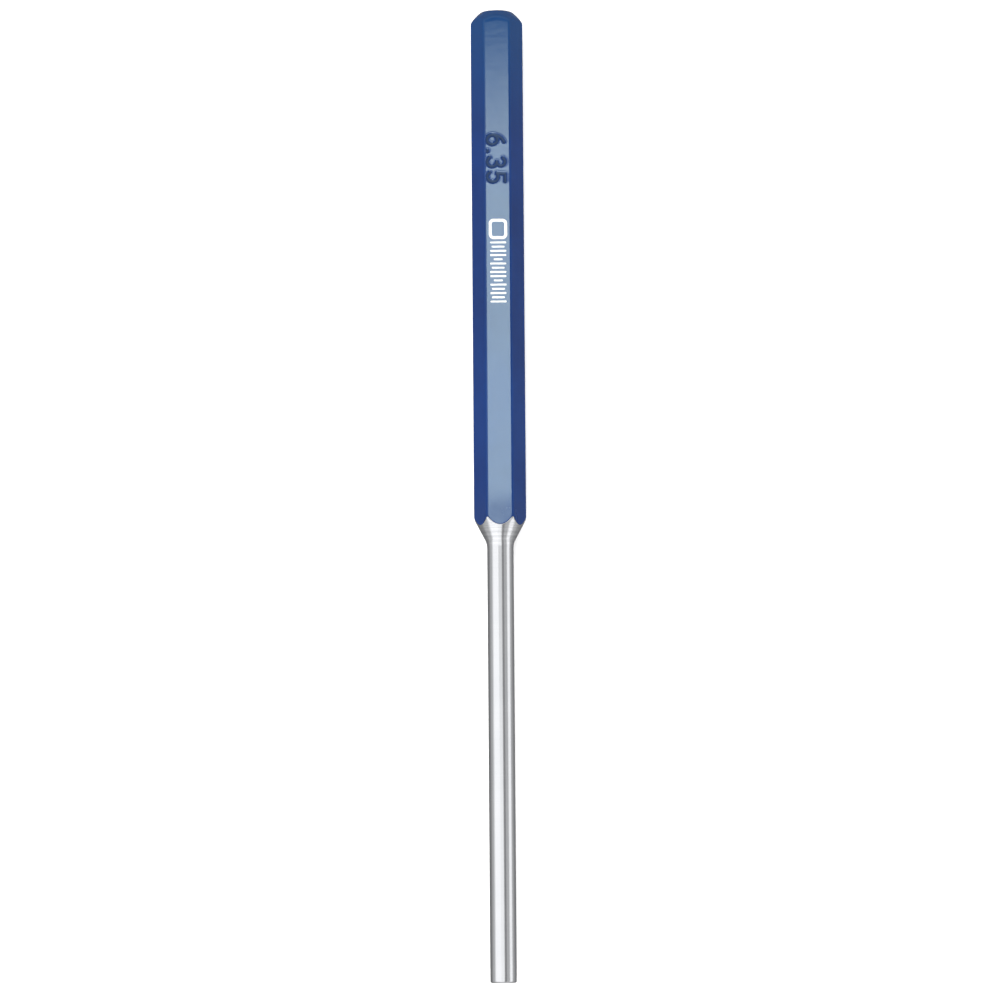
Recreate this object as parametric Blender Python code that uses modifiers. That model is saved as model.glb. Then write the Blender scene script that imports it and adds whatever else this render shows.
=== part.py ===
"""Long parallel pin punch: one turned steel bar, its lacquer film and one printed mark.

The punch is drawn along its own axis, local +Z from the working tip to the struck head. One empty
lays it on a flat of its hexagon, so that world +Y runs from tip to head and world +Z is up. The
origin is then under the middle of its length, on the surface that it lies on. Metres throughout.
"""

import math

import bmesh
import bpy

MM = 0.001

# Driving dimensions of the steel
TOTAL_LENGTH = 235.0 * MM
SHANK_DIAMETER = 6.35 * MM  # a quarter inch
BODY_FLATS = 11.1 * MM  # across the lacquered flats
BODY_LENGTH = 123.7 * MM  # struck face to the first cut of the cone, in the hexagon's corners
CORNER_RADIUS = 0.7 * MM  # of the lacquered hexagon
CONE_HALF_ANGLE = math.radians(28)
CONE_FILLET_RADIUS = 4.0 * MM  # blends the cone into the shank
HEAD_FACE_DIAMETER = 6.8 * MM  # the flat that the hammer strikes
HEAD_CHAMFER_ANGLE = math.radians(45)
TIP_CHAMFER = 0.3 * MM

# Lacquer film, with a hair of clearance to the steel inside it
LACQUER_FILM = 0.10 * MM
FILM_GAP = 0.01 * MM

# Printed mark, on the flat that faces up
MARK_LENGTH = 20.3 * MM
MARK_WIDTH = 4.4 * MM
MARK_THICKNESS = 0.03 * MM
MARK_CORNER_RADIUS = 0.6 * MM
MARK_FROM_HEAD = 51.4 * MM  # struck face to the mark's nearer end

# Fineness of the round stretches
TURNING_STEPS = 64
FILLET_STEPS = 5
HEX_CORNER_STEPS = 3
MARK_CORNER_STEPS = 4
SCREW_MERGE = 0.001 * MM
SHARP_FROM = math.radians(25)  # a steeper edge between two faces stays crisp

# Worked out from the driving dimensions
SHANK_RADIUS = SHANK_DIAMETER / 2
HEAD_FACE_RADIUS = HEAD_FACE_DIAMETER / 2
STEEL_FLATS = BODY_FLATS - 2 * LACQUER_FILM
STEEL_CORNER_RADIUS = CORNER_RADIUS - LACQUER_FILM
HALF_CORNER = math.radians(30)
ROUNDED_OFF = CORNER_RADIUS * (1 / math.cos(HALF_CORNER) - 1)
CORNER_REACH = BODY_FLATS / 2 / math.cos(HALF_CORNER) - ROUNDED_OFF  # axis to a rounded corner
CONE_TOP = TOTAL_LENGTH - BODY_LENGTH  # height of the cone at the corners
OVERRUN = 2 * MM  # how far stock and cutters run past what they meet
CLEAR_RADIUS = CORNER_REACH + OVERRUN  # outside the hexagon all round


def cone_height(radius):
    """Height along the axis at which the turned cone has this radius."""
    return CONE_TOP + (radius - CORNER_REACH) / math.tan(CONE_HALF_ANGLE)


def head_chamfer_radius(height, grown):
    """Radius of the head's chamfer at this height, with its skin grown outwards."""
    at_face = HEAD_FACE_RADIUS + grown / math.cos(HEAD_CHAMFER_ANGLE)
    return at_face + (TOTAL_LENGTH - height) * math.tan(HEAD_CHAMFER_ANGLE)


def head_chamfer_height(radius, grown):
    """Height at which the head's chamfer, grown outwards, reaches this radius."""
    beyond = radius - head_chamfer_radius(TOTAL_LENGTH, grown)
    return TOTAL_LENGTH - beyond / math.tan(HEAD_CHAMFER_ANGLE)


def fillet_points():
    """The arc from the cone to the shank, as (radius, height), from the head's side to the tip's."""
    meets_shank = cone_height(SHANK_RADIUS)
    tangent_run = CONE_FILLET_RADIUS * math.tan(CONE_HALF_ANGLE / 2)
    centre_radius = SHANK_RADIUS + CONE_FILLET_RADIUS
    centre_height = meets_shank - tangent_run
    points = []
    for step in range(FILLET_STEPS + 1):
        angle = math.pi - CONE_HALF_ANGLE * (1 - step / FILLET_STEPS)
        radius = centre_radius + CONE_FILLET_RADIUS * math.cos(angle)
        points.append((radius, centre_height + CONE_FILLET_RADIUS * math.sin(angle)))
    return points


def turned_profile(grown):
    """What the lathe leaves: chamfered head, cone, fillet, shank and tip, as (radius, height)."""
    return [
        (0, TOTAL_LENGTH),
        (head_chamfer_radius(TOTAL_LENGTH, grown), TOTAL_LENGTH),
        (CLEAR_RADIUS, head_chamfer_height(CLEAR_RADIUS, grown)),
        (CLEAR_RADIUS, cone_height(CLEAR_RADIUS)),
        *fillet_points(),
        (SHANK_RADIUS, TIP_CHAMFER),
        (SHANK_RADIUS - TIP_CHAMFER, 0),
        (0, 0),
    ]


def core_profile(grown):
    """The head's chamfer alone, running past both ends, as (radius, height)."""
    above_head = TOTAL_LENGTH + OVERRUN
    return [
        (0, above_head),
        (head_chamfer_radius(above_head, grown), above_head),
        (CLEAR_RADIUS, head_chamfer_height(CLEAR_RADIUS, grown)),
        (CLEAR_RADIUS, -OVERRUN),
        (0, -OVERRUN),
    ]


def clear_scene():
    for obj in list(bpy.data.objects):
        bpy.data.objects.remove(obj, do_unlink=True)


def new_collection(name):
    collection = bpy.data.collections.new(name)
    bpy.context.scene.collection.children.link(collection)
    return collection


def new_material(name, colour, metallic, roughness):
    material = bpy.data.materials.new(name)
    material.use_nodes = True
    shader = material.node_tree.nodes["Principled BSDF"]
    shader.inputs["Base Color"].default_value = (*colour, 1)
    shader.inputs["Metallic"].default_value = metallic
    shader.inputs["Roughness"].default_value = roughness
    return material


def new_object(name, data, collection, parent=None):
    obj = bpy.data.objects.new(name, data)
    collection.objects.link(obj)
    obj.parent = parent
    return obj


def hide_helper(obj):
    obj.hide_render = True
    obj.display_type = "WIRE"


def turned_solid(name, profile, collection, parent):
    """A solid of revolution about the local Z axis, from a (radius, height) outline."""
    mesh = bpy.data.meshes.new(name)
    points = [(radius, 0, height) for radius, height in profile]
    mesh.from_pydata(points, [(i, i + 1) for i in range(len(points) - 1)], [])
    solid = new_object(name, mesh, collection, parent)
    screw = solid.modifiers.new("turn", "SCREW")
    screw.axis = "Z"
    screw.angle = 2 * math.pi
    screw.steps = TURNING_STEPS
    screw.render_steps = TURNING_STEPS
    screw.use_merge_vertices = True
    screw.merge_threshold = SCREW_MERGE
    hide_helper(solid)
    return solid


def hexagonal_bar(name, grown, collection, parent):
    """Bar stock with rounded corners, longer than the punch, its flats towards local +Y and -Y."""
    corner = (STEEL_FLATS / 2 + grown) / math.cos(HALF_CORNER)
    mesh = bpy.data.meshes.new(name)
    stock = bmesh.new()
    bmesh.ops.create_cone(
        stock,
        cap_ends=True,
        segments=6,
        radius1=corner,
        radius2=corner,
        depth=TOTAL_LENGTH + 2 * OVERRUN,
    )
    stock.to_mesh(mesh)
    stock.free()
    bar = new_object(name, mesh, collection, parent)
    bar.location.z = TOTAL_LENGTH / 2
    bar.rotation_euler.z = HALF_CORNER
    rounding = bar.modifiers.new("rounded_corners", "BEVEL")
    rounding.limit_method = "NONE"
    rounding.width = (STEEL_CORNER_RADIUS + grown) * math.tan(HALF_CORNER)
    rounding.segments = HEX_CORNER_STEPS
    return bar


def combine(obj, other, operation):
    boolean = obj.modifiers.new(f"{operation.lower()}_{other.name}", "BOOLEAN")
    boolean.operation = operation
    boolean.object = other
    boolean.solver = "EXACT"


def settle(obj, material):
    """Keep what the modifiers make as the object's own mesh, with its round faces smooth."""
    evaluated = obj.evaluated_get(bpy.context.evaluated_depsgraph_get())
    mesh = bpy.data.meshes.new_from_object(evaluated)
    mesh.name = obj.name
    mesh.materials.clear()
    mesh.materials.append(material)
    mesh.shade_smooth()
    mesh.set_sharp_from_angle(angle=SHARP_FROM)
    obj.modifiers.clear()
    obj.data = mesh


def make_steel_punch(parts, cutters, parent):
    """The whole tool: hexagonal stock turned down at the head, the cone, the shank and the tip."""
    punch = hexagonal_bar("steel_punch", 0, parts, parent)
    lathe = turned_solid("steel_lathe_cut", turned_profile(0), cutters, parent)
    combine(punch, lathe, "INTERSECT")
    settle(punch, new_material("bright_steel", (0.60, 0.61, 0.63), 1, 0.25))
    return punch


def make_lacquer_coat(parts, cutters, parent):
    """A film on the flats and the head's chamfer, cut off flush by the struck face and the cone."""
    coat = hexagonal_bar("lacquer_coat", LACQUER_FILM, parts, parent)
    outside = turned_solid("lacquer_lathe_cut", turned_profile(LACQUER_FILM), cutters, parent)
    inside = hexagonal_bar("lacquer_inside", FILM_GAP, cutters, parent)
    inside_chamfer = turned_solid("lacquer_inside_chamfer", core_profile(FILM_GAP), cutters, parent)
    hide_helper(inside)
    combine(inside, inside_chamfer, "INTERSECT")
    combine(coat, outside, "INTERSECT")
    combine(coat, inside, "DIFFERENCE")
    settle(coat, new_material("blue_lacquer", (0.023, 0.062, 0.185), 0, 0.3))
    return coat


def rounded_rectangle(width, length, radius):
    """Outline about the origin, as (across, along), with an arc at each corner."""
    points = []
    for corner in range(4):
        start = corner * math.pi / 2
        across = math.copysign(width / 2 - radius, math.cos(start + math.pi / 4))
        along = math.copysign(length / 2 - radius, math.sin(start + math.pi / 4))
        for step in range(MARK_CORNER_STEPS + 1):
            angle = start + step / MARK_CORNER_STEPS * math.pi / 2
            points.append((across + radius * math.cos(angle), along + radius * math.sin(angle)))
    return points


def make_printed_mark(parts, parent):
    """A pad of ink, a hair above the flat that faces up."""
    outline = rounded_rectangle(MARK_WIDTH, MARK_LENGTH, MARK_CORNER_RADIUS)
    curve = bpy.data.curves.new("printed_mark", "CURVE")
    curve.dimensions = "2D"
    curve.fill_mode = "BOTH"
    curve.extrude = MARK_THICKNESS / 2
    spline = curve.splines.new("POLY")
    spline.points.add(len(outline) - 1)
    for point, (across, along) in zip(spline.points, outline):
        point.co = (across, along, 0, 1)
    spline.use_cyclic_u = True
    curve.materials.append(new_material("white_ink", (0.80, 0.80, 0.78), 0, 0.5))
    mark = new_object("printed_mark", curve, parts, parent)
    mark.location.y = -(BODY_FLATS / 2 + FILM_GAP + MARK_THICKNESS / 2)
    mark.location.z = TOTAL_LENGTH - MARK_FROM_HEAD - MARK_LENGTH / 2
    mark.rotation_euler.x = math.pi / 2
    return mark


def main():
    clear_scene()
    parts = new_collection("pin_punch")
    cutters = new_collection("cutters")
    axis = new_object("punch_axis", None, parts)
    axis.location = (0, -TOTAL_LENGTH / 2, BODY_FLATS / 2)
    axis.rotation_euler.x = -math.pi / 2
    make_steel_punch(parts, cutters, axis)
    make_lacquer_coat(parts, cutters, axis)
    make_printed_mark(parts, axis)


main()
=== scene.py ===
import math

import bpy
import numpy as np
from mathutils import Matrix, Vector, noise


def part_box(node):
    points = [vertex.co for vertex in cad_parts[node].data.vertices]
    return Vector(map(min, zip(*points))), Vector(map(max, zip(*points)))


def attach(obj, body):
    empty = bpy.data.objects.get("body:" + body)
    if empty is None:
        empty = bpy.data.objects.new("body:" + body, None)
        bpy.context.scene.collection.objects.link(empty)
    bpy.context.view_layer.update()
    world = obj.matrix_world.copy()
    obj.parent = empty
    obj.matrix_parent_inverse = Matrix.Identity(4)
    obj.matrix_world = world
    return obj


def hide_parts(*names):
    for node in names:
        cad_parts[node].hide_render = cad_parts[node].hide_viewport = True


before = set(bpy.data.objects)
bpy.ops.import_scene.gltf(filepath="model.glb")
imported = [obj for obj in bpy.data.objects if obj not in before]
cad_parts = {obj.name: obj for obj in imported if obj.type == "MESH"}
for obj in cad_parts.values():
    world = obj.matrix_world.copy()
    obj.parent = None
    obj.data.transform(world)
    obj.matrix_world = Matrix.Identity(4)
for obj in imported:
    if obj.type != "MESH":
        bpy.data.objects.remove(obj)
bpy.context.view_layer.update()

# Looks of the long pin punch: a ground steel bar in a film of blue lacquer, with a stamped size and
# a printed mark on the flat that faces up. Metres throughout. The punch lies along Y, with its
# struck head at +Y and its working tip at -Y.

MM = 0.001


# ---------------------------------------------------------------- sizes, from the frame

film_low, film_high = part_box("lacquer_coat")
steel_low, steel_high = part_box("steel_punch")
mark_low, mark_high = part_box("printed_mark")

AXIS_Z = (film_low.z + film_high.z) / 2
HEAD_Y = steel_high.y
TIP_Y = steel_low.y
HALF_FLATS = (film_high.z - film_low.z) / 2
CORNER_REACH = film_high.x  # from the axis to the lacquer's rounded corners
FILM = steel_low.z - film_low.z  # from the lacquer's outside to the steel
AT_FACE = 0.01 * MM  # how near the struck face a corner counts as on it


def cad_radius(node, from_y, to_y):
    """Largest distance from the punch's axis to a CAD node's corners between two places on it."""
    corners = [v.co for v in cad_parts[node].data.vertices]
    return max(math.hypot(c.x, c.z - AXIS_Z) for c in corners if from_y <= c.y <= to_y)


SHANK_RADIUS = cad_radius("steel_punch", TIP_Y, TIP_Y / 2)
FACE_RADIUS = cad_radius("steel_punch", HEAD_Y - AT_FACE, HEAD_Y)

# The CAD's own sizes that its boxes don't show
HALF_CORNER = math.radians(30)  # half of the hexagon's turn at a corner
SHARP_CORNER_REACH = HALF_FLATS / math.cos(HALF_CORNER)
CORNER_RADIUS = (SHARP_CORNER_REACH - CORNER_REACH) / (1 / math.cos(HALF_CORNER) - 1)
CONE_HALF_ANGLE = math.radians(28)
CONE_FILLET_RADIUS = 4.0 * MM
TIP_CHAMFER = 0.3 * MM
FILM_GAP = 0.01 * MM  # clearance between the film's inside and the steel

# Softened edges: how far each one's rounding reaches along the surfaces beside it
RIM_EASE = 0.16 * MM
CHAMFER_EASE = 0.45 * MM
CONE_EDGE_EASE = 0.05 * MM
TIP_EASE = 0.09 * MM

# Fineness of the skins
TOP_COLUMNS = 56  # across the flat that is stamped and printed
FLAT_COLUMNS = 18  # across each other flat
CORNER_COLUMNS = 8
FACE_ROWS = 10
CHAMFER_ROWS = 6
BODY_INSET = 5.0 * MM  # from the hexagon's ends to the even rows between them
BODY_END_ROWS = 3
BODY_ROW_STEP = 4.0 * MM
STAMP_ROW_STEP = 0.1 * MM
CONE_ROWS = 8
FILLET_ROWS = 10
SHANK_ROWS = 24
TIP_ROWS = 4
EDGE_STEPS = 5
SMALL_EDGE_STEPS = 3

CHAMFER_BULGE = 0.22 * MM  # how far the middle of the head's chamfer stands out along the axis


def cone_y(radius):
    """Where along the axis the turned cone has this radius."""
    return film_low.y + (radius - (HALF_FLATS - FILM)) / math.tan(CONE_HALF_ANGLE)


def chamfer_y(radius, grown=0.0):
    """Where along the axis the head's chamfer has this radius, with its skin grown outwards."""
    share = (radius - FACE_RADIUS) / (CORNER_REACH - FACE_RADIUS)
    bulge = 4 * CHAMFER_BULGE * np.clip(share * (1 - share), 0, 1)
    return HEAD_Y - (radius - FACE_RADIUS) + bulge + grown * math.sqrt(2)


# ---------------------------------------------------------------- the stamped size

STAMP_CENTRE_Y = HEAD_Y - 36.7 * MM
STAMP_CENTRE_X = -0.30 * MM
STAMP_HEIGHT = 4.6 * MM
STAMP_DEPTH = 0.26 * MM
STAMP_STROKE = 0.50 * MM  # half the groove's width at the surface
STAMP_MARGIN = 3 * STAMP_STROKE  # from the strokes to where the flat is plain again
GROOVE_POINTEDNESS = 1.3  # 1 is a round bottom, and more is a sharper one
LIP_HEIGHT = 0.018 * MM  # metal raised beside the groove
LIP_CENTRE = 1.25  # in half widths of the groove, from its middle
LIP_WIDTH = 0.28  # in half widths of the groove
DIGIT_WIDTH = 0.60  # of the height
POINT_WIDTH = 0.20
DIGIT_GAP = 0.20
ARC_STEPS = 14


def arc(centre, radius, start, end, stretch=1.0):
    """Points on an arc, in the units of a digit one unit tall, between two angles in degrees."""
    angles = np.radians(np.linspace(start, end, ARC_STEPS + 1))
    x = centre[0] + radius * np.cos(angles)
    y = centre[1] + radius * stretch * np.sin(angles)
    return list(zip(x, y))


def digit_six():
    bowl = arc((0.30, 0.29), 0.25, 0, 360, 1.08)
    stem = arc((0.66, 0.34), 0.61, 178, 113, 1.02)
    return [bowl, stem]


def digit_three():
    upper = arc((0.27, 0.745), 0.215, 150, -90)
    lower = arc((0.27, 0.275), 0.25, 90, -150)
    return [upper, lower]


def digit_five():
    flag = [(0.51, 0.96), (0.12, 0.96), (0.09, 0.555)]
    bowl = arc((0.26, 0.31), 0.27, 130, -145, 1.05)
    return [flag, bowl]


def decimal_point():
    return [[(0.08, 0.05), (0.12, 0.05)]]


def stamp_strokes():
    """The strokes of the shank's size in millimetres, read from head to tip, and their length."""
    strokes, pen = [], 0.0
    for glyph, width in (
        (digit_six(), DIGIT_WIDTH),
        (decimal_point(), POINT_WIDTH),
        (digit_three(), DIGIT_WIDTH),
        (digit_five(), DIGIT_WIDTH),
    ):
        strokes += [[(pen + x, y) for x, y in stroke] for stroke in glyph]
        pen += width + DIGIT_GAP
    length = pen - DIGIT_GAP
    placed = []
    for stroke in strokes:
        x, y = np.array(stroke).T
        across = STAMP_CENTRE_X + (y - 0.5) * STAMP_HEIGHT
        along = STAMP_CENTRE_Y - (x - length / 2) * STAMP_HEIGHT
        placed.append(np.column_stack((across, along)))
    return placed, length * STAMP_HEIGHT


stamp_lines, stamp_length = stamp_strokes()
STAMP_REACH = stamp_length / 2 + STAMP_MARGIN  # from the stamp's middle to the plain flat


def distance_to_stamp(x, y):
    """Distance in plan from each point to the nearest stamped stroke."""
    points = np.stack((x, y), axis=-1)
    nearest = np.full(x.shape, 1.0)
    for line in stamp_lines:
        for start, end in zip(line[:-1], line[1:]):
            run = end - start
            share = np.clip(((points - start) @ run) / (run @ run), 0, 1)
            foot = start + share[..., None] * run
            nearest = np.minimum(nearest, np.linalg.norm(points - foot, axis=-1))
    return nearest


def stamp_sink(x, y):
    """How deep the surface lies below the flat, in a groove with a faint lip beside it."""
    reach = distance_to_stamp(x, y) / STAMP_STROKE
    groove = STAMP_DEPTH * np.clip(1 - reach**2, 0, 1) ** GROOVE_POINTEDNESS
    lip = LIP_HEIGHT * np.exp(-(((reach - LIP_CENTRE) / LIP_WIDTH) ** 2))
    return groove - lip


# ---------------------------------------------------------------- skins of the bar

def hexagon_columns():
    """Points round the lacquered hexagon, seen from the tip clockwise, and their outward normals."""
    straight = (HALF_FLATS - CORNER_RADIUS) * math.tan(HALF_CORNER)
    points, normals = [], []
    for side in range(6):
        facing = math.radians(90 - 60 * side)
        out = np.array((math.cos(facing), math.sin(facing)))
        along = np.array((out[1], -out[0]))
        for share in np.linspace(-1, 1, (FLAT_COLUMNS if side else TOP_COLUMNS) + 1):
            points.append(out * HALF_FLATS + along * straight * share)
            normals.append(out)
        centre = out * (HALF_FLATS - CORNER_RADIUS) + along * straight
        for step in range(1, CORNER_COLUMNS):
            turned = facing - 2 * HALF_CORNER * step / CORNER_COLUMNS
            out_here = np.array((math.cos(turned), math.sin(turned)))
            points.append(centre + CORNER_RADIUS * out_here)
            normals.append(out_here)
    return np.array(points), np.array(normals)


column_points, column_normals = hexagon_columns()
COLUMNS = len(column_points)
on_top_flat = column_normals[:, 1] > 1 - 1e-6


def columns_inside(depth):
    """Radius and direction of each column, on the hexagon this far inside the lacquer's surface."""
    points = column_points - depth * column_normals
    radius = np.linalg.norm(points, axis=1)
    return radius, points / radius[:, None]


def level(value):
    """The same value for every column."""
    return np.full(COLUMNS, float(value))


def shares(steps):
    """Even steps up to 1, without the 0 that they start from."""
    return np.linspace(0, 1, steps + 1)[1:]


def straight_run(start, end, steps):
    """Stations after start and up to end, where a station is (radius, y) for every column."""
    return [tuple(a + (b - a) * share for a, b in zip(start, end)) for share in shares(steps)]


def eased_corner(before, corner, after, steps=EDGE_STEPS):
    """Stations after before and up to after, rounding off the corner between them."""
    stations = []
    for t in shares(steps):
        weights = ((1 - t) ** 2, 2 * t * (1 - t), t**2)
        bent = [sum(w * v for w, v in zip(weights, parts)) for parts in zip(before, corner, after)]
        stations.append(tuple(bent))
    return stations


def body_rows():
    """Places along the hexagon, close together where the size is stamped."""
    first, last = HEAD_Y - BODY_INSET, film_low.y + BODY_INSET
    stamp_start, stamp_end = STAMP_CENTRE_Y + STAMP_REACH, STAMP_CENTRE_Y - STAMP_REACH
    stretches = (
        (first, stamp_start, BODY_ROW_STEP),
        (stamp_start, stamp_end, STAMP_ROW_STEP),
        (stamp_end, last, BODY_ROW_STEP),
    )
    rows = [first]
    for start, end, step in stretches:
        rows += list(np.linspace(start, end, math.ceil((start - end) / step) + 1))[1:]
    return rows


def positions(stations, direction):
    """Stations as points in space, one row of columns for each, with the stamp pressed in."""
    rows = np.empty((len(stations), COLUMNS, 3))
    for row, (radius, y) in zip(rows, stations):
        row[:, 0] = radius * direction[:, 0]
        row[:, 1] = y
        row[:, 2] = AXIS_Z + radius * direction[:, 1]
    pressed = (np.abs(rows[:, :, 1] - STAMP_CENTRE_Y) < STAMP_REACH) & on_top_flat[None, :]
    rows[pressed, 2] -= stamp_sink(rows[pressed, 0], rows[pressed, 1])
    return rows


def hexagon_stations(depth, top_y, short=0.0):
    """Stations down the hexagon from top_y, per column, to the cone's edge or this far short of it."""
    radius, _ = columns_inside(depth)
    rows = body_rows()
    stations = straight_run((radius, top_y), (radius, level(rows[0])), BODY_END_ROWS)
    stations += [(radius, level(y)) for y in rows[1:]]
    end = cone_y(radius) + CONE_EDGE_EASE + short
    return stations + straight_run(stations[-1], (radius, end), BODY_END_ROWS)


def chamfer_edge(last, radius, grown=0.0):
    """Stations after the chamfer's last one, rounding off its edge with the flats."""
    edge_y = chamfer_y(radius, grown)
    return eased_corner(last, (radius, edge_y), (radius, edge_y - CHAMFER_EASE))


def quads(rows, wrap_rows):
    """Faces between the points of a grid that closes on itself round the columns."""
    index = np.arange(rows * COLUMNS).reshape(rows, COLUMNS)
    below = np.roll(index, -1, axis=0)
    if not wrap_rows:
        index, below = index[:-1], below[:-1]
    corners = (index, below, np.roll(below, -1, axis=1), np.roll(index, -1, axis=1))
    return np.stack(corners, axis=-1).reshape(-1, 4).tolist()


def new_object(name, data):
    obj = bpy.data.objects.new(name, data)
    bpy.context.collection.objects.link(obj)
    return obj


def new_mesh(name, points, faces, material):
    mesh = bpy.data.meshes.new(name)
    mesh.from_pydata(points, [], faces)
    mesh.materials.append(material)
    return mesh


def make_piece(name, points, faces, node, material):
    """A smooth piece of the punch that stands for a CAD node."""
    mesh = new_mesh(name, points, faces, material)
    mesh.shade_smooth()
    piece = new_object(name, mesh)
    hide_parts(node)
    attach(piece, "root")
    return piece


def set_attribute(piece, name, values):
    """Stores one number for each point of a piece, for its material to read."""
    layer = piece.data.attributes.new(name, "FLOAT", "POINT")
    layer.data.foreach_set("value", np.ascontiguousarray(values, dtype=np.float32).ravel())


# ---------------------------------------------------------------- the steel bar

CROWN = 0.06 * MM  # how far the struck face is rounded up in its middle
DENTS = (  # hammer marks on the struck face: x and z from its middle, radius, depth, in mm
    (0.9, 0.7, 1.1, 0.045),
    (-1.1, -0.3, 0.9, 0.035),
    (0.2, -1.4, 0.8, 0.040),
    (-0.6, 1.5, 0.7, 0.030),
    (1.8, -0.8, 0.6, 0.025),
)
TIP_CENTRE_RADIUS = 0.3 * MM  # of the innermost ring on the tip


def struck_face_stations():
    stations = []
    for share in shares(FACE_ROWS):
        radius = level(share * (FACE_RADIUS - RIM_EASE))
        stations.append((radius, HEAD_Y - CROWN * (radius / FACE_RADIUS) ** 2))
    return stations


def press_dents(rows):
    """Sinks the hammer's marks into the struck face."""
    for x, z, radius, depth in DENTS:
        away = np.hypot(rows[..., 0] - x * MM, rows[..., 2] - AXIS_Z - z * MM)
        rows[..., 1] -= depth * MM * np.clip(1 - (away / (radius * MM)) ** 2, 0, 1)


def head_stations(radius):
    """The struck face, its rim and the chamfer, out to the hexagon's columns at this radius."""
    stations = struck_face_stations()
    start, end = level(FACE_RADIUS + RIM_EASE), radius - CHAMFER_EASE
    rim = (level(FACE_RADIUS), level(HEAD_Y - CROWN))
    stations += eased_corner(stations[-1], rim, (start, chamfer_y(start)))
    for share in shares(CHAMFER_ROWS):
        here = start + (end - start) * share
        stations.append((here, chamfer_y(here)))
    return stations + chamfer_edge(stations[-1], radius)


def cone_stations(last, radius):
    """From the hexagon's last station, over the cone's edge and down the cone to the shank."""
    start = radius - CONE_EDGE_EASE * math.sin(CONE_HALF_ANGLE)
    edge = (radius, cone_y(radius))
    stations = eased_corner(last, edge, (start, cone_y(start)), SMALL_EDGE_STEPS)
    tangent = CONE_FILLET_RADIUS * math.tan(CONE_HALF_ANGLE / 2)
    fillet_start = level(SHANK_RADIUS + tangent * math.sin(CONE_HALF_ANGLE))
    stations += straight_run(stations[-1], (fillet_start, cone_y(fillet_start)), CONE_ROWS)
    foot_y = cone_y(SHANK_RADIUS)
    foot = (level(SHANK_RADIUS), level(foot_y))
    fillet_end = (level(SHANK_RADIUS), level(foot_y - tangent))
    return stations + eased_corner(stations[-1], foot, fillet_end, FILLET_ROWS)


def shank_stations(last):
    """From the fillet's last station, down the shank, over the tip's chamfer and in to the axis."""
    shank = level(SHANK_RADIUS)
    chamfer_top = TIP_Y + TIP_CHAMFER
    stations = straight_run(last, (shank, level(chamfer_top + TIP_EASE)), SHANK_ROWS)
    slant = TIP_EASE / math.sqrt(2)
    corner, after = (shank, level(chamfer_top)), (shank - slant, level(chamfer_top - slant))
    stations += eased_corner(stations[-1], corner, after, SMALL_EDGE_STEPS)
    edge = shank - TIP_CHAMFER
    stations += straight_run(stations[-1], (edge + slant, level(TIP_Y + slant)), 1)
    corner, after = (edge, level(TIP_Y)), (edge - TIP_EASE, level(TIP_Y))
    stations += eased_corner(stations[-1], corner, after, SMALL_EDGE_STEPS)
    last_ring = (level(TIP_CENTRE_RADIUS), level(TIP_Y))
    return stations + straight_run(stations[-1], last_ring, TIP_ROWS)


def closed_ends(rows):
    """Points and faces of a skin that a fan about a point on the axis closes at each end."""
    points = rows.reshape(-1, 3).tolist()
    faces = quads(len(rows), wrap_rows=False)
    head_centre, tip_centre = len(points), len(points) + 1
    points += [[0, HEAD_Y, AXIS_Z], [0, TIP_Y, AXIS_Z]]
    last_row = (len(rows) - 1) * COLUMNS
    for i in range(COLUMNS):
        after = (i + 1) % COLUMNS
        faces.append([head_centre, i, after])
        faces.append([tip_centre, last_row + after, last_row + i])
    return points, faces


def make_steel_bar(material):
    """One closed skin: struck face, chamfer, hexagon, cone, fillet, shank and tip."""
    radius, direction = columns_inside(FILM)
    stations = head_stations(radius)
    stations += hexagon_stations(FILM, stations[-1][1])
    stations += cone_stations(stations[-1], radius)
    stations += shank_stations(stations[-1])
    rows = positions(stations, direction)
    press_dents(rows[:FACE_ROWS])
    points, faces = closed_ends(rows)
    return make_piece("steel_bar", points, faces, "steel_punch", material)


# ---------------------------------------------------------------- the lacquer

BARE_RIM = 0.34 * MM  # how far the lacquer stops short of the struck face
BARE_RIM_VARIES = 0.20 * MM
CORNER_CHIP = 0.42 * MM  # and how far short of the cone, at the hexagon's corners
CORNER_CHIP_VARIES = 0.10 * MM
FILM_THINS = FILM - 1.5 * FILM_GAP  # how much thinner the film is where it starts
FILM_THICKENS = 22  # how fast it comes to its full thickness down the chamfer
FILM_SHARES = (0, 0.03, 0.07, 0.13, 0.22, 0.36, 0.52, 0.68, 0.84, 1.0)  # its rows on the chamfer
RAGGED_CIRCLE = 3  # radius of the circle through the noise that goes once round the hexagon
RAGGED_FRACTAL = (0.8, 2.2, 5)  # the noise's fractal increment, lacunarity and octaves


def film_stations(depth, bare, thins, short):
    """Stations of one side of the film, this far inside its outer surface, from the head down.

    bare is how far down the chamfer the film starts in each column, thins how much thinner it is
    there than further on, and short how far from the cone it ends.
    """
    radius, _ = columns_inside(depth)
    grown = FILM - depth
    start, end = FACE_RADIUS + bare, radius - CHAMFER_EASE
    stations = []
    for share in FILM_SHARES:
        here = start + (end - start) * share
        thinner = thins * math.exp(-share * FILM_THICKENS)
        stations.append((here, chamfer_y(here, grown - thinner)))
    stations += chamfer_edge(stations[-1], radius, grown)
    return stations + hexagon_stations(depth, stations[-1][1], short)


def ragged_round(seed):
    """Smooth noise of about -1 to 1 round the hexagon, one value for each column."""
    turn = np.arange(COLUMNS) / COLUMNS * 2 * math.pi
    circle = [(RAGGED_CIRCLE * math.cos(t), RAGGED_CIRCLE * math.sin(t), seed) for t in turn]
    return np.array([noise.fractal(place, *RAGGED_FRACTAL) for place in circle])


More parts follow.
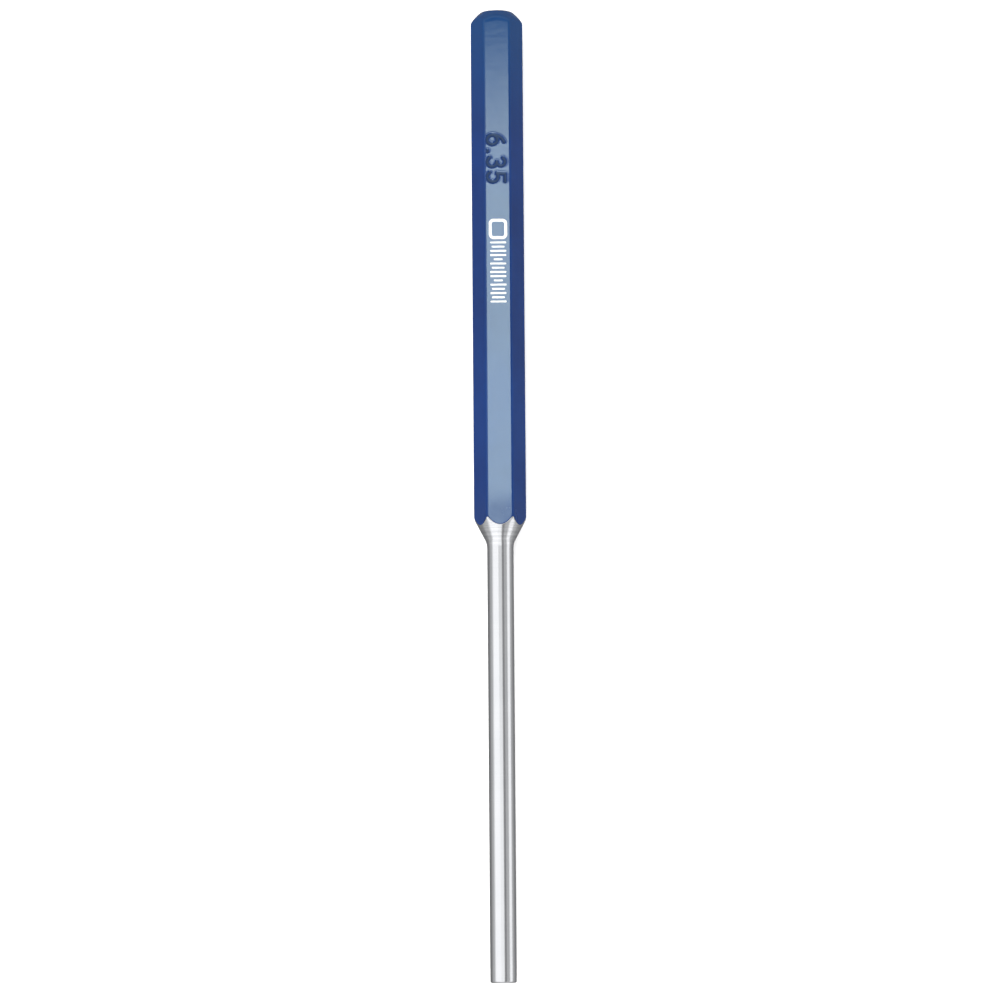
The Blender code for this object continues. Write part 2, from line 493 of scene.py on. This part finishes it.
def film_rows():
    """The film's points: down its outer side, across the cut at the cone, and up its inner side."""
    bare = BARE_RIM + BARE_RIM_VARIES * ragged_round(seed=1.7)
    radius, direction = columns_inside(0)
    towards_corner = (radius - HALF_FLATS) / (CORNER_REACH - HALF_FLATS)
    short = towards_corner * (CORNER_CHIP + CORNER_CHIP_VARIES * ragged_round(seed=4.1))

    outer = film_stations(0, bare, FILM_THINS, short)
    cut = radius - CONE_EDGE_EASE * math.sin(CONE_HALF_ANGLE)
    edge, after = (radius, cone_y(radius) + short), (cut, cone_y(cut) + short)
    outer += eased_corner(outer[-1], edge, after, SMALL_EDGE_STEPS)

    depth = FILM - FILM_GAP
    inner_radius, inner_direction = columns_inside(depth)
    inner = film_stations(depth, bare, 0, short)
    inner.append((inner_radius, cone_y(inner_radius) + short))
    return np.concatenate((positions(outer, direction), positions(inner, inner_direction)[::-1]))


def make_lacquer_film(material):
    """One closed film, with how deep it is stamped at each of its points."""
    rows = film_rows()
    points = rows.reshape(-1, 3)
    faces = quads(len(rows), wrap_rows=True)
    film = make_piece("lacquer_film", points.tolist(), faces, "lacquer_coat", material)
    near = np.abs(points[:, 1] - STAMP_CENTRE_Y) < stamp_length
    on_top = np.tile(on_top_flat, len(rows))
    below = np.clip((film_high.z - points[:, 2]) / STAMP_DEPTH, 0, 1)
    set_attribute(film, "stamped", np.where(near & on_top, below, 0))
    return film


# ---------------------------------------------------------------- the printed mark

INK_LIFT = 0.004 * MM
INK_THICKNESS = 0.028 * MM
INK_EDGE = 0.008 * MM
INK_LINE = 0.68 * MM
INK_CORNER = 0.55 * MM
INK_SHARP_FROM = math.radians(50)
FRAME_LENGTH = 1.12  # of its width
BAR_THICKNESS = 0.43 * MM
BAR_CORNER = 0.2 * MM
BAR_WIDEST = 0.88  # of the frame's width
# Each bar's share of that, from the frame towards the tip
BAR_WIDTHS = (1.0, 0.8, 1.0, 1.0, 0.55, 1.0, 0.8, 1.0, 1.0, 0.55, 1.0, 0.8, 1.0, 0.8, 1.0)
OUTLINE_CORNER_STEPS = 6
OUTLINE_STEP = 0.12 * MM
RAGGED_EDGE = 0.02 * MM
RAGGED_LENGTH = 0.25 * MM
RAGGED_SLICES = (0.3, 5.3)  # of the noise, for the wobble across and along the punch


def rounded_corners(width, length, radius, centre_y):
    """The corner points of a rounded rectangle about a place on the centre line."""
    points = []
    for corner in range(4):
        start = corner * math.pi / 2
        x = math.copysign(width / 2 - radius, math.cos(start + math.pi / 4))
        y = centre_y + math.copysign(length / 2 - radius, math.sin(start + math.pi / 4))
        for step in range(OUTLINE_CORNER_STEPS + 1):
            angle = start + step / OUTLINE_CORNER_STEPS * math.pi / 2
            points.append((x + radius * math.cos(angle), y + radius * math.sin(angle)))
    return points


def printed_outline(width, length, radius, centre_y):
    """A rounded rectangle in short steps, with a printed edge's wobble."""
    corners = rounded_corners(width, length, radius, centre_y)
    outline = []
    for (x0, y0), (x1, y1) in zip(corners, corners[1:] + corners[:1]):
        steps = max(1, round(math.hypot(x1 - x0, y1 - y0) / OUTLINE_STEP))
        for step in range(steps):
            x = x0 + (x1 - x0) * step / steps
            y = y0 + (y1 - y0) * step / steps
            place = (x / RAGGED_LENGTH, y / RAGGED_LENGTH)
            across, along = (RAGGED_EDGE * noise.noise((*place, z)) for z in RAGGED_SLICES)
            outline.append((x + across, y + along))
    return outline


def mark_outlines():
    """A plain frame, outside and inside, and a row of plain bars."""
    width, length = mark_high.x - mark_low.x, mark_high.y - mark_low.y
    frame_length = FRAME_LENGTH * width
    frame_y = mark_high.y - frame_length / 2
    hole = (width - 2 * INK_LINE, frame_length - 2 * INK_LINE)
    outlines = [
        printed_outline(width, frame_length, 2 * INK_CORNER, frame_y),
        printed_outline(*hole, INK_CORNER, frame_y),
    ]
    pitch = (length - frame_length) / len(BAR_WIDTHS)
    for bar, share in enumerate(BAR_WIDTHS):
        centre = mark_low.y + BAR_THICKNESS / 2 + pitch * (len(BAR_WIDTHS) - 1 - bar)
        bar_width = BAR_WIDEST * width * share
        outlines.append(printed_outline(bar_width, BAR_THICKNESS, BAR_CORNER, centre))
    return outlines


def filled(outlines):
    """Points and faces of a flat print about z = 0, with its edges eased."""
    curve = bpy.data.curves.new("mark_outline", "CURVE")
    curve.dimensions = "2D"
    curve.fill_mode = "BOTH"
    curve.extrude = INK_THICKNESS / 2 - INK_EDGE
    curve.bevel_depth = INK_EDGE
    curve.bevel_resolution = 1
    for outline in outlines:
        spline = curve.splines.new("POLY")
        spline.points.add(len(outline) - 1)
        for target, (x, y) in zip(spline.points, outline):
            target.co = (x, y, 0, 1)
        spline.use_cyclic_u = True
    drawn = new_object("mark_outline", curve)
    evaluated = drawn.evaluated_get(bpy.context.evaluated_depsgraph_get())
    mesh = bpy.data.meshes.new_from_object(evaluated)
    bpy.data.objects.remove(drawn)
    points = [tuple(v.co) for v in mesh.vertices]
    faces = [list(p.vertices) for p in mesh.polygons]
    bpy.data.meshes.remove(mesh)
    return points, faces


def make_printed_mark(material):
    """A plain frame and a row of plain bars, in thin ink."""
    points, faces = filled(mark_outlines())
    middle = film_high.z + INK_LIFT + INK_THICKNESS / 2
    raised = [(x, y, z + middle) for x, y, z in points]
    piece = make_piece("mark_ink", raised, faces, "printed_mark", material)
    piece.data.set_sharp_from_angle(angle=INK_SHARP_FROM)
    return piece


# ---------------------------------------------------------------- materials

def colour(*rgb):
    return (*rgb, 1.0)


class Nodes:
    """A short way to write a node tree."""

    def __init__(self, tree):
        self.tree = tree

    def add(self, kind, **settings):
        node = self.tree.nodes.new(kind)
        for key, value in settings.items():
            setattr(node, key, value)
        return node

    def link(self, source, target):
        """Gives an input a plain value, or the output that it is to follow."""
        if isinstance(source, (int, float, tuple)):
            target.default_value = source
        else:
            self.tree.links.new(source, target)

    def split(self, vector):
        parts = self.add("ShaderNodeSeparateXYZ")
        self.link(vector, parts.inputs["Vector"])
        return parts.outputs["X"], parts.outputs["Y"], parts.outputs["Z"]

    def remap(self, value, low, high, to_low=0.0, to_high=1.0):
        node = self.add("ShaderNodeMapRange")
        sources = (value, low, high, to_low, to_high)
        for key, source in zip(("Value", "From Min", "From Max", "To Min", "To Max"), sources):
            self.link(source, node.inputs[key])
        return node.outputs["Result"]

    def math(self, operation, a, b=0.0):
        node = self.add("ShaderNodeMath", operation=operation)
        self.link(a, node.inputs[0])
        self.link(b, node.inputs[1])
        return node.outputs["Value"]

    def mix(self, share, a, b):
        node = self.add("ShaderNodeMix", data_type="RGBA")
        self.link(share, node.inputs["Factor"])
        for source, socket in ((a, "A"), (b, "B")):
            target = next(s for s in node.inputs if s.name == socket and s.type == "RGBA")
            self.link(source, target)
        return next(s for s in node.outputs if s.type == "RGBA")


class Surface(Nodes):
    """A new material's nodes, with its shader and the place on the object."""

    def __init__(self, name):
        self.material = bpy.data.materials.new(name)
        self.material.use_nodes = True
        super().__init__(self.material.node_tree)
        self.shader = self.tree.nodes["Principled BSDF"]
        self.place = self.add("ShaderNodeTexCoord").outputs["Object"]

    def feed(self, name, source):
        """Gives one of the shader's inputs a plain value, or the output that it is to follow."""
        self.link(source, self.shader.inputs[name])

    def noise(self, scale, detail, roughness=0.5, stretch=None):
        """Noise over the object, at another scale along each axis where stretch is given."""
        node = self.add("ShaderNodeTexNoise")
        self.link(self.scaled(stretch) if stretch else self.place, node.inputs["Vector"])
        self.link(scale, node.inputs["Scale"])
        self.link(detail, node.inputs["Detail"])
        self.link(roughness, node.inputs["Roughness"])
        return node.outputs["Fac"]

    def scaled(self, scale):
        mapping = self.add("ShaderNodeMapping")
        self.link(self.place, mapping.inputs["Vector"])
        self.link(scale, mapping.inputs["Scale"])
        return mapping.outputs["Vector"]

    def rings(self, distance, scale, detail):
        """Noise that changes with one distance alone."""
        node = self.add("ShaderNodeTexNoise", noise_dimensions="1D")
        self.link(distance, node.inputs["W"])
        self.link(scale, node.inputs["Scale"])
        self.link(detail, node.inputs["Detail"])
        return node.outputs["Fac"]

    def bump(self, height, distance, under=None):
        node = self.add("ShaderNodeBump")
        self.link(height, node.inputs["Height"])
        self.link(distance, node.inputs["Distance"])
        self.link(1.0, node.inputs["Strength"])
        if under is not None:
            self.link(under, node.inputs["Normal"])
        return node.outputs["Normal"]

    def attribute(self, name):
        return self.add("ShaderNodeAttribute", attribute_name=name).outputs["Fac"]

    def along_and_radius(self):
        """The place along the punch and the distance from its axis."""
        x, y, z = self.split(self.place)
        height = self.math("SUBTRACT", z, AXIS_Z)
        squares = self.math("ADD", self.math("POWER", x, 2.0), self.math("POWER", height, 2.0))
        return y, self.math("SQRT", squares)


DEEP_BLUE = colour(0.0011, 0.0194, 0.115)
CLEAR_BLUE = colour(0.0019, 0.0253, 0.141)
# Painted light: a greener blue towards the head, standing in for light that the lamps give it too
# little of there
PAINTED_LIGHT_HEAD_BLUE = colour(0.0018, 0.0360, 0.141)
# Painted shade: a darker blue laid into the stamped grooves
GROOVE_SHADE_BLUE = colour(0.008, 0.020, 0.055)
HEAD_LIGHT_FROM = HEAD_Y - 32 * MM  # the blue turns to PAINTED_LIGHT_HEAD_BLUE between these
HEAD_LIGHT_TO = HEAD_Y - 4 * MM
LACQUER_GLOSS = 0.35  # the enamel's specular level
LACQUER_TINT = colour(0.79, 1.0, 0.94)
GROOVE_ROUGHNESS = 0.45  # how much rougher the lacquer is in the stamped grooves
DULL_ROUGHNESS = 0.14  # and how much rougher where it dulls, towards the cut at the cone
DULL_FROM = film_low.y + 9.0 * MM
DULL_TO = film_low.y + 4.0 * MM
PEEL_HEIGHT = 0.006 * MM
RIPPLE_HEIGHT = 0.012 * MM
NIB_HEIGHT = 0.004 * MM


def lacquer_material():
    """Deep blue enamel with faint ripples and dust nibs, a greener blue painted towards the head as
    painted light, and painted shade in its stamped grooves.
    """
    n = Surface("blue_lacquer")
    along, _ = n.along_and_radius()
    stamped = n.attribute("stamped")
    cloudy = n.remap(n.noise(60.0, 4.0, 0.6), 0.35, 0.65)
    # Painted light: the blue turns greener towards the head, in place of light falling there
    head_light_share = n.remap(along, HEAD_LIGHT_FROM, HEAD_LIGHT_TO)
    body = n.mix(head_light_share, n.mix(cloudy, DEEP_BLUE, CLEAR_BLUE), PAINTED_LIGHT_HEAD_BLUE)
    # Painted shade: the stamped grooves are darkened by how deep they are
    n.feed("Base Color", n.mix(n.remap(stamped, 0.1, 0.9, 0.0, 0.8), body, GROOVE_SHADE_BLUE))

    smear = n.noise(220.0, 4.0, 0.6, stretch=(1.0, 0.35, 1.0))
    smooth = n.remap(smear, 0.3, 0.7, 0.09, 0.15)
    dull = n.remap(along, DULL_FROM, DULL_TO, 0.0, DULL_ROUGHNESS)
    rough = n.math("ADD", n.remap(stamped, 0.1, 0.9, 0.0, GROOVE_ROUGHNESS), dull)
    n.feed("Roughness", n.math("ADD", smooth, rough))
    n.feed("Specular IOR Level", LACQUER_GLOSS)
    n.feed("Specular Tint", LACQUER_TINT)

    peel = n.bump(n.noise(620.0, 2.0, 0.4), PEEL_HEIGHT)
    ripple = n.noise(500.0, 3.0, 0.6, stretch=(0.25, 1.0, 0.25))
    nibs = n.remap(n.noise(2600.0, 1.0), 0.72, 0.80)
    n.feed("Normal", n.bump(nibs, NIB_HEIGHT, n.bump(ripple, RIPPLE_HEIGHT, peel)))
    return n.material


DARK_STEEL = colour(0.66, 0.67, 0.69)
LIGHT_STEEL = colour(0.71, 0.715, 0.73)
FINE_RING_STEEL = colour(0.46, 0.47, 0.49)
COARSE_RING_STEEL = colour(0.44, 0.45, 0.47)
STEEL_AT_GRAZING = colour(0.55, 0.55, 0.55)  # what it mirrors there, where a perfect metal mirrors all
FINE_RINGS = 9000.0  # to the metre
COARSE_RINGS = 3400.0
FINE_RING_DEPTH = 0.0014 * MM
COARSE_RING_DEPTH = 0.0025 * MM


def steel_material():
    """Bright steel, ground round its axis, with rings that stand out on its ends and its cone."""
    n = Surface("ground_steel")
    along, radius = n.along_and_radius()
    fine = n.rings(n.math("ADD", along, radius), FINE_RINGS, 4.0)
    coarse = n.remap(n.rings(radius, COARSE_RINGS, 2.0), 0.35, 0.65)

    cloudy = n.remap(n.noise(90.0, 4.0, 0.6), 0.3, 0.7)
    ground = n.mix(cloudy, DARK_STEEL, LIGHT_STEEL)
    brushed = n.mix(n.remap(fine, 0.40, 0.68, 0.0, 0.35), ground, FINE_RING_STEEL)
    n.feed("Base Color", n.mix(n.math("MULTIPLY", coarse, 0.40), brushed, COARSE_RING_STEEL))
    smear = n.noise(150.0, 5.0, 0.65, stretch=(1.0, 0.3, 1.0))
    n.feed("Roughness", n.remap(smear, 0.3, 0.7, 0.17, 0.20))
    n.feed("Metallic", 1.0)
    n.feed("Specular Tint", STEEL_AT_GRAZING)
    n.feed("Anisotropic", 0.5)
    n.feed("Anisotropic Rotation", 0.25)
    tangent = n.add("ShaderNodeTangent", direction_type="RADIAL", axis="Y")
    n.feed("Tangent", tangent.outputs["Tangent"])
    n.feed("Normal", n.bump(fine, FINE_RING_DEPTH, n.bump(coarse, COARSE_RING_DEPTH)))
    return n.material


FRESH_INK = colour(0.80, 0.81, 0.80)
THIN_INK = colour(0.70, 0.72, 0.74)
INK_SPECK = colour(0.25, 0.32, 0.45)
INK_GRAIN = 0.003 * MM


def ink_material():
    """White printing ink, slightly uneven and thin in specks."""
    n = Surface("white_ink")
    cloudy = n.remap(n.noise(900.0, 3.0), 0.3, 0.7)
    specks = n.remap(n.noise(4200.0, 2.0), 0.66, 0.74, 0.0, 0.6)
    n.feed("Base Color", n.mix(specks, n.mix(cloudy, FRESH_INK, THIN_INK), INK_SPECK))
    n.feed("Roughness", n.remap(cloudy, 0.0, 1.0, 0.38, 0.5))
    n.feed("Normal", n.bump(n.noise(2400.0, 2.0), INK_GRAIN))
    return n.material


# ---------------------------------------------------------------- the studio

FLOOR_SOLID = 0.20  # the floor is whole this near the punch's middle
FLOOR_GONE = 0.45  # and has faded into the white surroundings here
FLOOR_FADE_POWER = 1.5
FLOOR_GREY = colour(0.75, 0.75, 0.75)
FLOOR_SIDES = 72


def make_floor():
    """A plain pale disc of floor, which the punch's gloss doesn't mirror."""
    n = Surface("pale_floor")
    radius = n.add("ShaderNodeVectorMath", operation="LENGTH")
    n.link(n.place, radius.inputs[0])
    fade = n.remap(radius.outputs["Value"], FLOOR_SOLID, FLOOR_GONE, 1.0, 0.0)
    n.feed("Alpha", n.math("POWER", fade, FLOOR_FADE_POWER))
    n.feed("Base Color", FLOOR_GREY)
    n.feed("Roughness", 1.0)
    n.feed("Specular IOR Level", 0.0)
    turns = [2 * math.pi * side / FLOOR_SIDES for side in range(FLOOR_SIDES)]
    rim = [(FLOOR_GONE * math.cos(a), FLOOR_GONE * math.sin(a), 0) for a in turns]
    floor = new_object("floor", new_mesh("floor", rim, [tuple(range(FLOOR_SIDES))], n.material))
    floor.visible_glossy = False
    return floor


LIGHT_HEIGHT = 0.30  # of the overhead softboxes above the punch's axis
# Softboxes over the painted body and its ink: their edges in degrees to the left of overhead,
# round the punch's axis, then their ends along it, and their radiance
BODY_LIGHTS = (
    ("body_key", 7, -5, -0.60, 0.131, 11.6),
    ("body_key_fades", 7, -5, 0.131, 0.149, 8.2),
    ("body_key_ends", 7, -5, 0.149, 0.163, 4.2),
    ("body_left", 60, 7, -0.60, 0.30, 1.1),
    ("body_back", 60, -50, 0.22, 0.75, 0.9),
)
# The same for the floor
FLOOR_LIGHTS = (
    ("floor_wide", 60, -45, -0.90, 0.90, 3.0),
    ("floor_left", 40, 8, -0.60, 0.60, 3.0),
)
# The same for the bright steel, which mirrors them
STEEL_LIGHTS = (
    ("steel_key", 70, 18, -1.10, 0.157, 0.90),
    ("steel_fill", 18, -10, -1.10, -0.03, 0.75),
    ("steel_fill_dims", 18, -10, -0.03, 0.157, 0.38),
    ("steel_edge", 80, 70, -1.10, 0.157, 0.42),
)
# Strips to the right: their edges in degrees from overhead, and their radiance
BODY_STRIP = ("body_strip", 61, 83, 0.7)
STEEL_STRIP = ("steel_strip", 58, 86, 0.80)
STRIP_DISTANCE = 0.40
STRIP_LENGTH = 1.1
STRIP_CENTRE_Y = -0.1
# A grey card beside the overhead softboxes, which the steel mirrors as a dark line: its edges in
# degrees to the left of overhead, and its ends along the punch
CARD_EDGES = (-14, -30)
CARD_ENDS = (-1.1, 0.1)
CARD_GREY = 0.34


def left_of_axis(degrees):
    """Where across the punch a line this many degrees to the left of overhead meets the lights."""
    return -LIGHT_HEIGHT * math.tan(math.radians(degrees))


def softbox(name, centre, size_x, size_y, tilt, radiance, lit):
    """A rectangle of even light on the lit objects, long along Y, turned about Y from facing down."""
    light = bpy.data.lights.new(name, "AREA")
    light.shape = "RECTANGLE"
    light.size = size_x
    light.size_y = size_y
    light.energy = radiance * math.pi * size_x * size_y
    lamp = new_object(name, light)
    lamp.location = centre
    lamp.rotation_euler = (0, tilt, 0)
    lamp.visible_camera = False
    lamp.light_linking.receiver_collection = lit


def overhead(name, from_left, to_left, front, back, radiance, lit):
    """A softbox level above the punch, between two angles to the left of overhead."""
    start, end = left_of_axis(from_left), left_of_axis(to_left)
    middle = ((start + end) / 2, (front + back) / 2, AXIS_Z + LIGHT_HEIGHT)
    softbox(name, middle, end - start, back - front, 0, radiance, lit)


def strip(name, start, end, radiance, lit):
    """A softbox to the right of the punch, between two angles from overhead."""
    bearing = math.radians(start + end) / 2
    width = 2 * STRIP_DISTANCE * math.tan(math.radians(end - start) / 2)
    x, z = STRIP_DISTANCE * math.sin(bearing), AXIS_Z + STRIP_DISTANCE * math.cos(bearing)
    softbox(name, (x, STRIP_CENTRE_Y, z), width, STRIP_LENGTH, bearing, radiance, lit)


def make_lights(painted, bare, ground):
    """Lights each group of objects with softboxes of its own."""
    for rows, lit in ((BODY_LIGHTS, painted), (STEEL_LIGHTS, bare), (FLOOR_LIGHTS, ground)):
        for row in rows:
            overhead(*row, lit)
    strip(*BODY_STRIP, painted)
    strip(*STEEL_STRIP, bare)


def make_card():
    """The grey card, seen in gloss alone."""
    n = Surface("grey_card")
    n.feed("Base Color", colour(0.0, 0.0, 0.0))
    n.feed("Specular IOR Level", 0.0)
    n.feed("Emission Color", colour(1.0, 1.0, 1.0))
    n.feed("Emission Strength", CARD_GREY)
    left, right = (left_of_axis(edge) for edge in CARD_EDGES)
    front, back = CARD_ENDS
    height = AXIS_Z + LIGHT_HEIGHT
    corners = [(x, y, height) for x, y in ((left, front), (right, front), (right, back), (left, back))]
    card = new_object("grey_card", new_mesh("grey_card", corners, [(0, 1, 2, 3)], n.material))
    card.visible_camera = False
    card.visible_diffuse = False
    card.visible_shadow = False


def group(name, *objects):
    """A set of objects that some lights are kept to."""
    collection = bpy.data.collections.new(name)
    for obj in objects:
        collection.objects.link(obj)
    return collection


# What surrounds the punch, as parts of white
SKY = 0.65
GROUND_LEFT = 0.33
GROUND_RIGHT = 0.39
SKY_FROM = -0.15  # how high a direction points where the sky starts, with straight up as 1
GROUND_FROM = -0.45  # and where the ground is reached
GROUND_TURN = 0.8  # how far sideways a direction points where the left or right grey is reached
DULL_SHARE = 0.4  # of those greys, for light on dull surfaces


def make_surroundings():
    """White where the camera sees it, and grey, darker below the horizon, for the rest."""
    world = bpy.data.worlds.new("surroundings")
    bpy.context.scene.world = world
    world.use_nodes = True
    n = Nodes(world.node_tree)
    x, _, z = n.split(n.add("ShaderNodeTexCoord").outputs["Generated"])
    ground = n.remap(x, -GROUND_TURN, GROUND_TURN, GROUND_LEFT, GROUND_RIGHT)
    grey = n.remap(z, GROUND_FROM, SKY_FROM, ground, SKY)
    path = n.add("ShaderNodeLightPath")
    dull = n.remap(path.outputs["Is Diffuse Ray"], 0.0, 1.0, 1.0, DULL_SHARE)
    dimmed = n.math("MULTIPLY", grey, dull)
    background = n.tree.nodes["Background"]
    n.link(colour(1.0, 1.0, 1.0), background.inputs["Color"])
    strength = n.remap(path.outputs["Is Camera Ray"], 0.0, 1.0, dimmed, 1.0)
    n.link(strength, background.inputs["Strength"])


LENS = 200.0
SENSOR = 36.0
VIEW_WIDTH = 241.1 * MM  # across the frame at the punch's axis
PITCH = math.radians(5)  # the camera stands towards the tip, and looks towards the head
LEAN = math.radians(0.43)  # the head leans to the left
CENTRE_BELOW = 1.49 * MM  # the frame's centre lies this far towards the tip from the punch's


def make_camera():
    """Above the punch, with its head at the top of the frame."""
    data = bpy.data.cameras.new("camera")
    data.lens = LENS
    data.sensor_width = SENSOR
    camera = new_object("camera", data)
    distance = VIEW_WIDTH * LENS / SENSOR
    place = (0, -CENTRE_BELOW - distance * math.sin(PITCH), AXIS_Z + distance * math.cos(PITCH))
    turn = Matrix.Rotation(PITCH, 4, "X") @ Matrix.Rotation(-LEAN, 4, "Z")
    camera.matrix_world = Matrix.Translation(place) @ turn
    bpy.context.scene.camera = camera


make_camera()
make_surroundings()
floor = make_floor()
make_card()
bar = make_steel_bar(steel_material())
film = make_lacquer_film(lacquer_material())
mark = make_printed_mark(ink_material())
make_lights(group("painted", film, mark), group("bare", bar), group("ground", floor))
bpy.context.scene.view_settings.view_transform = "Standard"
